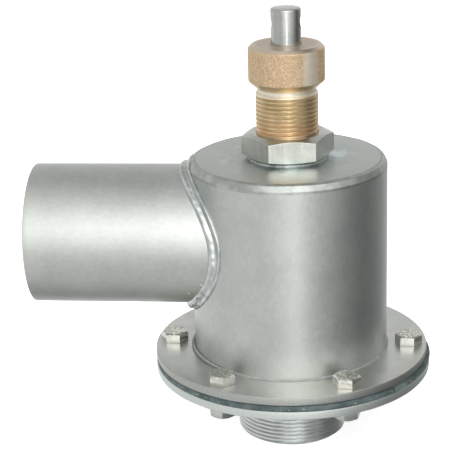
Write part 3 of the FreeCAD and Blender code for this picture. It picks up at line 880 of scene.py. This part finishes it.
# Round the bead: the folds and the deep crack underneath, where two runs overlap.
BEAD_FOLDS = (
    (-0.52, 0.08, 0.5), (-0.66, 0.05, -0.6), (-0.82, 0.035, -1.5), (-0.95, 0.09, 0.7),
    (-1.15, 0.05, -0.7), (-1.40, 0.12, 0.5), (-1.75, 0.06, -0.8), (-2.10, 0.08, -0.6),
)


def bump(place, middle, width):
    return math.exp(-((place - middle) / width) ** 2)


def bead_height(share):
    """How high the bead stands, in parts of its height on the shell."""
    start, crest = RIDGE_SPAN
    hump = 0.06 * math.sin(math.pi * min(1, share / start))
    run = RUN_HEIGHT * (1 - math.exp(-share / BEAD_SIDE)) + hump
    climb = min(max((share - start) / (crest - start), 0), 1)
    fall = max(0, share - crest) / (1 - crest)
    return run + (RIDGE_HEIGHT - RUN_HEIGHT) * climb ** 2 * (3 - 2 * climb) - (RIDGE_HEIGHT - 1) * fall ** 2


def bead_point(angle, share):
    """A point on the bead: angle is 0 at the front and a quarter turn on top, share is 0 on the pipe."""
    top = max(0.0, math.sin(angle))
    under = max(0.0, -math.sin(angle + 0.25))
    wobble = noise.noise(Vector((math.cos(angle) * 3.1, math.sin(angle) * 3.1, 0.4)))
    along_pipe = (3.0 + 2.6 * top ** 2 + 1.3 * under + 0.5 * wobble) * MM
    along_shell = (3.4 + 1.4 * top + 0.6 * under - 0.4 * wobble) * MM
    side = -math.cos(angle)
    wide = pipe_radius - BEAD_SINK
    across = wide * side
    rise = wide * math.sin(angle)
    joint = Vector((saddle(across, pipe_axis + rise), across, rise))
    foot = joint + Vector((-along_pipe, 0, 0))
    far = pipe_radius + along_shell
    reach = Vector((0, far * side, far * math.sin(angle)))
    reach.x = saddle(reach.y, pipe_axis + reach.z) + BEAD_SINK
    out = Vector((0, side, math.sin(angle)))
    if share > 1:
        place = joint + Vector((BEAD_ROOT * MM, 0, 0)) - out * BEAD_ROOT * MM
    else:
        high = bead_height(share) * (1 - under) + (1 - (1 - share) ** 3) * under
        place = foot * (1 - share) + reach * share + out * (high - share) * along_shell
        arch = math.sin(math.pi * share)
        swell = 0.05 * math.sin(angle * 58 + 3 * share + 2 * wobble) * arch
        slanted = angle + 0.22 * (share - 0.5)
        swell += arch * sum(size * bump(slanted, middle, width) for middle, width, size in BEAD_FOLDS)
        swell += (0.25 + 1.7 * under) * noise.noise(place * 260) * arch ** 0.5
        place = place + out * swell * MM
    return place + Vector((0, 0, pipe_axis))


def bead_form():
    """A ring of section points spun about the pipe's axis, then each laid where the bead is."""
    form = bmesh.new()
    mark = form.verts.layers.float.new("share")
    shares = [index / (BEAD_POINTS - 2) for index in range(BEAD_POINTS - 1)] + [2.0]
    ring = []
    for index, share in enumerate(shares):
        turn = 2 * math.pi * index / len(shares)
        vertex = form.verts.new((5 * MM * math.cos(turn), -pipe_radius + 5 * MM * math.sin(turn), 0))
        vertex[mark] = share
        ring.append(vertex)
    spin_round(form, ring, (1, 0, 0), BEAD_STEPS)
    for vertex in form.verts:
        vertex.co = bead_point(math.atan2(vertex.co.z, -vertex.co.y), vertex[mark])
    return form


bead = new_piece(bead_form(), "outlet_bead", "valve_body", weld_steel, smooth=70)
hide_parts("outlet_weld")

# Spatter: drops of weld metal that stuck to the pipe beside the bead, and one short bright nick.
# Each is a place along the pipe, an angle round it, and the drop's half length and half width.
SPATTER = (
    (-52.4, -39.4, 0.55, 0.55),
    (-44.9, -28.0, 0.75, 0.60),
    (-57.3, 86.5, 0.60, 0.60),
    (-50.5, -9.0, 1.60, 0.28),
)
NICK_SLANT = math.radians(50)

spatter_form = bmesh.new()
for along, angle, half_length, half_width in SPATTER:
    lean = Matrix.Rotation(math.radians(angle), 4, "X")
    flat = Matrix.Diagonal((half_length * MM, half_width * 0.6 * MM, half_width * MM, 1))
    slant = Matrix.Rotation(-NICK_SLANT if half_length > 2 * half_width else 0, 4, "Y")
    spot = Matrix.Translation((along * MM, 0, pipe_axis)) @ lean.inverted()
    spot = spot @ Matrix.Translation((0, -pipe_radius, 0))
    bmesh.ops.create_icosphere(spatter_form, subdivisions=3, radius=1, matrix=spot @ slant @ flat)
spatter = new_piece(spatter_form, "weld_spatter", "valve_body", weld_steel)

# Threaded bush: a hexagon machined from stainless bar, welded into the lid. Its faces keep the
# olive grey of the bar. Its upper chamfer is broad and its lower one narrow.
BUSH_FLATS = 43.0 * MM
BUSH_BORE = 16.68 * MM
BUSH_SPIGOT = 18.98 * MM
BUSH_TOP = (2.0 * MM, 0.39)
BUSH_FOOT = (0.3 * MM, 0.28)
BUSH_EDGE = 0.25 * MM
BUSH_WELD_INSET = 0.3 * MM
SPIGOT_SINK = 0.5 * MM
SPIGOT_STEPS = 128

bush_low, bush_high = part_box("threaded_bush")
bush_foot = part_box("bush_weld")[1].z
bush_turn = hex_turn("threaded_bush")
bush_steel = metal(
    "bush_steel",
    light=(0.61, 0.62, 0.58),
    dark=(0.49, 0.50, 0.455),
    roughness=0.22,
    spread=0.10,
    patch_scale=70,
    lines=lambda finish: finish.around(900, 20),
    depth=0.012 * MM,
)
bush_hexagon = hex_form(BUSH_FLATS, bush_foot, bush_high.z, BUSH_BORE, BUSH_TOP, BUSH_FOOT, BUSH_EDGE)
bush_spigot_form = lathe(
    [
        (BUSH_BORE, bush_foot + SPIGOT_SINK),
        (BUSH_BORE, bush_low.z),
        (BUSH_SPIGOT, bush_low.z),
        (BUSH_SPIGOT, bush_foot + SPIGOT_SINK),
    ],
    SPIGOT_STEPS,
)
bush_form = placed(merged(bush_hexagon, bush_spigot_form), Vector((0, 0, 0)), bush_turn)
bush = new_piece(bush_form, "hexagon_bush", "valve_body", bush_steel, smooth=18)
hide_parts("threaded_bush")
bush_leg = bush_foot - lid_top
bush_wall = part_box("bush_weld")[1].x - bush_leg - BUSH_WELD_INSET
weld_ring("bush_foot_weld", "bush_weld", bush_wall, lid_top, bush_leg, 1, tinted_shaded_weld, swelling=2.2)

# Adjusting screw: turned from a brass casting. The thread, the bevel below the head and the top
# are machined, and the head's side keeps the pitted, rosy skin of the casting. The neck is painted
# pale, a painted highlight.
SCREW_STEPS = 144
SCREW_RADIUS = 16.62 * MM
SCREW_NECK = 15.32 * MM
SCREW_THREAD = 48.0 * MM
SCREW_THREAD_DEPTH = 0.8 * MM
SCREW_NECK_LENGTH = 2.0 * MM
HEAD_LOWER_CHAMFER = 4.0 * MM
HEAD_UPPER_CHAMFER = 2.0 * MM
GUIDE_BORE = 8.06 * MM
HEAD_ROWS = 40
CAST_PIT = 0.16 * MM
# The side of the head that the painted highlight strip faces.
HIGHLIGHT_STRIP_ANGLE = math.radians(-47)
# How far below the head the rosier brass ends, the yellower begins, and the neck's painted highlight fades
# in.
LOW_BRASS = 22 * MM
HIGH_BRASS = 12 * MM
NECK_HIGHLIGHT_SPAN = (3.6 * MM, 3 * MM)
CAST_RADIUS = (17.5 * MM, 18.5 * MM)

screw_low, screw_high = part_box("adjusting_screw")
head_radius = screw_high.x
head_foot = screw_low.z + SCREW_THREAD + SCREW_NECK_LENGTH
side_low = head_foot + HEAD_LOWER_CHAMFER
side_high = screw_high.z - HEAD_UPPER_CHAMFER


def brass():
    """Machined where it is bright, cast on the head's side, with one smoother strip down that side that is
    painted with a pale cream highlight.
    """
    finish = Finish("brass", Metallic=1.0)
    across, along, up = finish.axes()
    cast = finish.between(up, side_low - 0.3 * MM, side_low + 0.3 * MM)
    cast = cast * (1 - finish.between(up, side_high - 0.6 * MM, side_high + 0.9 * MM))
    cast = cast * finish.between(finish.radius(), *CAST_RADIUS)
    facing = across * (math.cos(HIGHLIGHT_STRIP_ANGLE) / head_radius) + along * (math.sin(HIGHLIGHT_STRIP_ANGLE) / head_radius)
    smooth_strip_highlight = cast * finish.between(facing, 0.952, 0.998)
    patches = finish.noise(finish.place, 90, detail=4.0)
    pits = finish.noise(finish.place, 1150, detail=4.0, roughness=0.7)
    stains = finish.noise(finish.place, 210, detail=3.0)
    aged = finish.between(up, side_high, side_high + MM)
    neck_highlight = finish.between(up, head_foot - NECK_HIGHLIGHT_SPAN[0], head_foot - NECK_HIGHLIGHT_SPAN[1])
    neck_highlight = neck_highlight * (1 - finish.between(up, head_foot, head_foot + MM))
    crest = finish.between(finish.radius(), SCREW_RADIUS - 0.3 * MM, SCREW_RADIUS - 0.1 * MM) * (1 - cast)
    turning = finish.noise(finish.around(1500, 1500), 3, detail=2.0)
    low_brass = finish.mix((0.65, 0.45, 0.27), (0.80, 0.585, 0.365), finish.between(patches, 0.3, 0.7))
    high_brass = finish.mix((0.62, 0.49, 0.30), (0.77, 0.61, 0.39), finish.between(patches, 0.3, 0.7))
    higher = finish.between(up, head_foot - LOW_BRASS, head_foot - HIGH_BRASS)
    bright = finish.mix(low_brass, high_brass, higher)
    # Painted highlight: the neck is painted near white.
    bright = finish.mix(bright, (0.97, 0.92, 0.82), neck_highlight * 0.8)
    bright = finish.mix(bright, (0.66, 0.56, 0.48), aged * 0.85)
    rosy = finish.mix((0.56, 0.41, 0.27), (0.88, 0.70, 0.50), finish.between(pits, 0.28, 0.68))
    rosy = finish.mix(rosy, (0.66, 0.50, 0.33), finish.between(stains, 0.50, 0.70) * 0.5)
    # Painted highlight: the smoother strip on the head's side is painted pale cream.
    skin = finish.mix(finish.mix(bright, rosy, cast), (1.0, 0.91, 0.76), smooth_strip_highlight * 0.95)
    gloss = 0.44 + patches * 0.10 + cast * 0.22 - smooth_strip_highlight * 0.16 - crest * 0.20
    height = pits * cast * (1 - smooth_strip_highlight * 0.8) + turning * (1 - cast) * 0.08
    return finish.paint(skin, gloss, height, 0.22 * MM)


def cast_skin(place, far):
    """How far the skin of the casting stands out, on the head's side only."""
    return CAST_PIT * (noise.noise(place * 420) - 0.5) * 0.6 if far > head_radius - 0.05 * MM else 0


head_rows = [side_low + (side_high - side_low) * row / HEAD_ROWS for row in range(2, HEAD_ROWS - 1)]
screw_form = lathe(
    rounded([
        (GUIDE_BORE, screw_high.z, 0.4 * MM),
        (GUIDE_BORE, screw_low.z, 0.3 * MM),
        *thread_rows(SCREW_RADIUS, screw_low.z, screw_low.z + SCREW_THREAD),
        (SCREW_NECK, screw_low.z + SCREW_THREAD),
        (SCREW_NECK, head_foot),
        (head_radius - HEAD_LOWER_CHAMFER, head_foot, 0.3 * MM),
        (head_radius, side_low, 0.5 * MM),
        *[(head_radius, row) for row in head_rows],
        (head_radius, side_high, 0.9 * MM),
        (head_radius - HEAD_UPPER_CHAMFER, screw_high.z, 0.7 * MM),
    ]),
    SCREW_STEPS,
)
threaded(screw_form, SCREW_RADIUS, screw_low.z, screw_low.z + SCREW_THREAD, depth=SCREW_THREAD_DEPTH)
push(screw_form, cast_skin)
screw = new_piece(screw_form, "brass_screw", "adjusting_screw", brass())
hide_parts("adjusting_screw")

# Stem: a ground stainless bar that slides through the screw. A cross hole near its top takes the
# pin of a lifting lever, and its lower end is turned down for the disc and its nut.
STEM_STEPS = 96
JOURNAL_RADIUS = 6.0 * MM
STEM_HOLE = 3.4 * MM
STEM_HOLE_DEPTH = 8.0 * MM
STEM_HOLE_STEPS = 64

stem_low, stem_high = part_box("stem")
stem_radius = stem_high.x
hub_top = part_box("valve_disc")[1].z
stem_form = lathe(
    rounded([
        (0, stem_high.z),
        (0, stem_low.z),
        (JOURNAL_RADIUS, stem_low.z, 0.8 * MM),
        (JOURNAL_RADIUS, hub_top),
        (stem_radius, hub_top, 0.2 * MM),
        (stem_radius, stem_high.z, 0.9 * MM),
    ]),
    STEM_STEPS,
)
stem_steel = metal(
    "stem_steel",
    light=(0.60, 0.60, 0.58),
    dark=(0.46, 0.47, 0.45),
    roughness=0.13,
    spread=0.10,
    lines=lambda finish: finish.around(0, 1500),
    depth=0.008 * MM,
)
stem = new_piece(stem_form, "lifting_stem", "valve_stem", stem_steel)
hole_level = stem_high.z - STEM_HOLE_DEPTH
hole_ends = ((-2 * stem_radius, 0, hole_level), (2 * stem_radius, 0, hole_level))
cut_away(stem, [rod(STEM_HOLE, *hole_ends, STEM_HOLE_STEPS)])
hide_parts("stem")

# Spring: round stainless wire coiled to the right, its end coils closed and ground flat. It is
# made in two halves, split at a turn between its ends. Its foot sits on the disc and its top against the
# spring plate.
SPRING_TURNS = 7.5
END_COIL_PITCH = 1.08
WIRE_RADIUS = 2.5 * MM
WIRE_POINTS = 18
COIL_STEPS = 44
SPLIT_TURN = 3.6

spring_low, spring_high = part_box("spring")
spring_length = spring_high.z - spring_low.z
coil_radius = spring_high.x - WIRE_RADIUS
spring_metal = metal(
    "spring_steel",
    light=(0.50, 0.50, 0.48),
    dark=(0.36, 0.36, 0.35),
    roughness=0.32,
    spread=0.14,
    patch_scale=80,
    lines=lambda finish: finish.around(0, 300),
    line_scale=4,
    depth=0.03 * MM,
)


def coil_height(turn):
    """Height of the wire's middle: a closed turn at each end and even coils between."""
    closed = 2 * WIRE_RADIUS * END_COIL_PITCH
    pitch = (spring_length - 2 * closed) / (SPRING_TURNS - 2)
    if turn < 1:
        return closed * turn
    if turn > SPRING_TURNS - 1:
        return spring_length - closed * (SPRING_TURNS - turn)
    return closed + pitch * (turn - 1)


def half_spring(name, first, last):
    """The coils from one turn to another, spun as an even helix and then set to their heights."""
    form = bmesh.new()
    even = 4 * WIRE_RADIUS
    upright = Matrix.Translation((coil_radius, 0, 0)) @ Matrix.Rotation(math.pi / 2, 4, "X")
    ring = bmesh.ops.create_circle(
        form, cap_ends=False, radius=WIRE_RADIUS, segments=WIRE_POINTS, matrix=upright
    )
    steps = round((last - first) * COIL_STEPS)
    bmesh.ops.spin(
        form,
        geom=ring["verts"] + list(form.edges),
        cent=(0, 0, 0),
        axis=(0, 0, 1),
        dvec=(0, 0, even * (last - first) / steps),
        angle=2 * math.pi * (last - first),
        steps=steps,
    )
    bmesh.ops.holes_fill(form, edges=[edge for edge in form.edges if edge.is_boundary])
    for vertex in form.verts:
        share = math.atan2(vertex.co.y, vertex.co.x) / (2 * math.pi)
        turn = share + round(vertex.co.z / even - share)
        height = coil_height(turn + first) + vertex.co.z - turn * even
        vertex.co.z = spring_low.z + min(max(height, 0), spring_length)
    return new_piece(placed(form, (0, 0, 0), 2 * math.pi * first), name, None, spring_metal, smooth=50)


split_level = (0, 0, spring_low.z + coil_height(SPLIT_TURN))
lower_half = half_spring("spring_lower_half", 0, SPLIT_TURN)
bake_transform(lower_half)
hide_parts("spring")
upper_half = half_spring("spring_upper_half", SPLIT_TURN, SPRING_TURNS)
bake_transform(upper_half)
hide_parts("spring")

# Inner pieces that show through the outlet and the inlet: the spring plate, the disc, its seal
# of red-brown rubber, the retainer and the nut. They are the frame's own solids, plain and turned.
valve_metal = metal(
    "valve_steel",
    light=(0.60, 0.60, 0.58),
    dark=(0.48, 0.48, 0.46),
    roughness=0.24,
    spread=0.12,
    lines=lambda finish: finish.around(1400, 1400),
    depth=0.02 * MM,
)


def seal_rubber():
    finish = Finish("seal_rubber", Metallic=0.0)
    patches = finish.noise(finish.place, 200, detail=3.0)
    tone = finish.mix((0.09, 0.03, 0.02), (0.16, 0.06, 0.04), finish.between(patches, 0.3, 0.7))
    return finish.paint(tone, 0.45 + patches * 0.2, patches, 0.05 * MM)


inner_finishes = {
    "upper_spring_plate": valve_metal,
    "valve_disc": valve_metal,
    "seal_retainer": valve_metal,
    "stem_nut": fastener_steel,
    "seat_seal": seal_rubber(),
}
for node, material in inner_finishes.items():
    nodes[node].data.materials.clear()
    nodes[node].data.materials.append(material)

# Studio: a pale floor under a broad soft ceiling light, in a white room. The steel reflects soft
# patches of light round it, the strongest beside the camera, and a dark side on the right.
CAMERA_PLACE = Vector((51.4, -765.2, 380.6)) * MM
CAMERA_AZIMUTH = math.radians(6.40)
CAMERA_ELEVATION = math.radians(18.888)
CAMERA_ROLL = math.radians(-1.761)
PHOTO_WIDTH = 452
FOCAL_PIXELS = 1491.1
SENSOR_WIDTH = 36.0
FLOOR_SIZE = 12.0
FLOOR_GLOW = 0.60
STRIP_LIGHT = 3.0
LIT_PLACE = Vector((-0.02, 0, 0.11))


def add_camera():
    """The camera, fitted to the photograph's outlines."""
    back = Vector((
        math.sin(CAMERA_AZIMUTH) * math.cos(CAMERA_ELEVATION),
        -math.cos(CAMERA_AZIMUTH) * math.cos(CAMERA_ELEVATION),
        math.sin(CAMERA_ELEVATION),
    ))
    right = (-back).cross(Vector((0, 0, 1))).normalized()
    up = right.cross(-back)
    rolled_right = right * math.cos(CAMERA_ROLL) + up * math.sin(CAMERA_ROLL)
    rolled_up = up * math.cos(CAMERA_ROLL) - right * math.sin(CAMERA_ROLL)
    data = bpy.data.cameras.new("camera")
    data.sensor_width = SENSOR_WIDTH
    data.lens = FOCAL_PIXELS / PHOTO_WIDTH * SENSOR_WIDTH
    camera = linked("camera", data)
    turn = Matrix((rolled_right, rolled_up, back)).transposed().to_4x4()
    camera.matrix_world = Matrix.Translation(CAMERA_PLACE) @ turn
    bpy.context.scene.camera = camera


def direction(azimuth, elevation):
    """Towards the place seen from the valve at that azimuth, 0 being the photograph's side."""
    turn = math.radians(azimuth) + CAMERA_AZIMUTH
    rise = math.radians(elevation)
    return Vector((math.sin(turn) * math.cos(rise), -math.cos(turn) * math.cos(rise), math.sin(rise)))


def add_light(name, azimuth, elevation, distance, width, height, power):
    data = bpy.data.lights.new(name, "AREA")
    data.shape = "RECTANGLE"
    data.size = width
    data.size_y = height
    data.energy = power
    light = linked(name, data)
    light.visible_glossy = False
    out = direction(azimuth, elevation)
    turn = out.to_track_quat("Z", "Y").to_matrix().to_4x4()
    light.matrix_world = Matrix.Translation(LIT_PLACE + out * distance) @ turn


class Room(Finish):
    """The light of the room round the valve, made with the same node method as the materials."""

    def __init__(self):
        world = bpy.data.worlds.new("studio")
        bpy.context.scene.world = world
        world.use_nodes = True
        self.tree = world.node_tree
        self.place = self.node("TexCoord", {}, {}, output=0)

    def facing(self, out):
        """1 in that direction, 0 square to it and -1 away from it."""
        sockets = {0: self.place, 1: tuple(out)}
        return self.node("VectorMath", {"operation": "DOT_PRODUCT"}, sockets, output=1)

    def lobe(self, azimuth, elevation, sharpness, strength):
        """A soft patch of light in one direction."""
        near = self.maths("MAXIMUM", self.facing(direction(azimuth, elevation)) * 0.5 + 0.5, 0.0)
        return self.maths("POWER", near, sharpness) * strength

    def strip(self, azimuth, half_width, half_height, strength):
        """A tall narrow light with soft edges, its middle level with the valve."""
        front = direction(azimuth, 0)
        facing = self.facing(front)
        across = self.facing(Vector((-front.y, front.x, 0)))
        _, _, up = self.axes()
        narrow = 1 - self.between(self.maths("ABSOLUTE", across), half_width * 0.6, half_width * 1.4)
        tall = 1 - self.between(self.maths("ABSOLUTE", up), half_height * 0.8, half_height * 1.2)
        return narrow * tall * self.between(facing, 0.0, 0.2) * strength


ROOM_GLOW = 0.054
LOBE_SHARPNESS = 14
# Each patch's azimuth, elevation and brightness. A separate program worked the brightnesses and the
# glow out from the photograph's tones, and a few were then changed by hand.
ROOM_LIGHTS = (
    (0, 22, 2.10),
    (45, 22, 0.97),
    (135, 22, 0.62),
    (180, 22, 0.32),
    (-135, 22, 0.47),
    (-90, 22, 0.47),
    (-45, 22, 0.21),
    (0, -25, 0.37),
    (120, -25, 0.08),
    (180, -25, 1.18),
    (-120, -25, 0.73),
    (-60, -25, 0.77),
    (0, 62, 0.58),
    (180, 62, 0.16),
    (-90, 62, 0.40),
    (0, -70, 0.56),
)


def add_room():
    """Soft patches of light round the valve by azimuth, elevation and brightness. The right side is dark."""
    room = Room()
    light = room.strip(azimuth=4, half_width=0.03, half_height=0.5, strength=STRIP_LIGHT) + ROOM_GLOW
    for azimuth, elevation, strength in ROOM_LIGHTS:
        light = light + room.lobe(azimuth, elevation, LOBE_SHARPNESS, strength)
    seen = room.node("LightPath", {}, {})
    grey = room.node("CombineColor", {}, {0: light, 1: light * 1.01, 2: light})
    white = room.mix(grey, (1.0, 1.0, 1.0), seen)
    background = room.tree.nodes["Background"]
    room.tree.links.new(white.socket, background.inputs["Color"])


def add_floor():
    form = bmesh.new()
    bmesh.ops.create_grid(form, x_segments=1, y_segments=1, size=FLOOR_SIZE)
    finish = Finish(
        "floor", Specular_IOR_Level=0.2, Emission_Color=(1, 1, 1, 1), Emission_Strength=FLOOR_GLOW
    )
    speckle = finish.noise(finish.place, 3, detail=2.0)
    material = finish.paint(finish.mix((0.90, 0.90, 0.90), (0.94, 0.94, 0.94), speckle), 0.7)
    mesh = mesh_of(form, "floor")
    mesh.materials.append(material)
    floor = linked("floor", mesh)
    floor.visible_glossy = False


bpy.context.scene.view_settings.view_transform = "Standard"
add_camera()
add_light("ceiling", azimuth=-20, elevation=75, distance=1.2, width=1.2, height=1.2, power=12)
add_room()
add_floor()
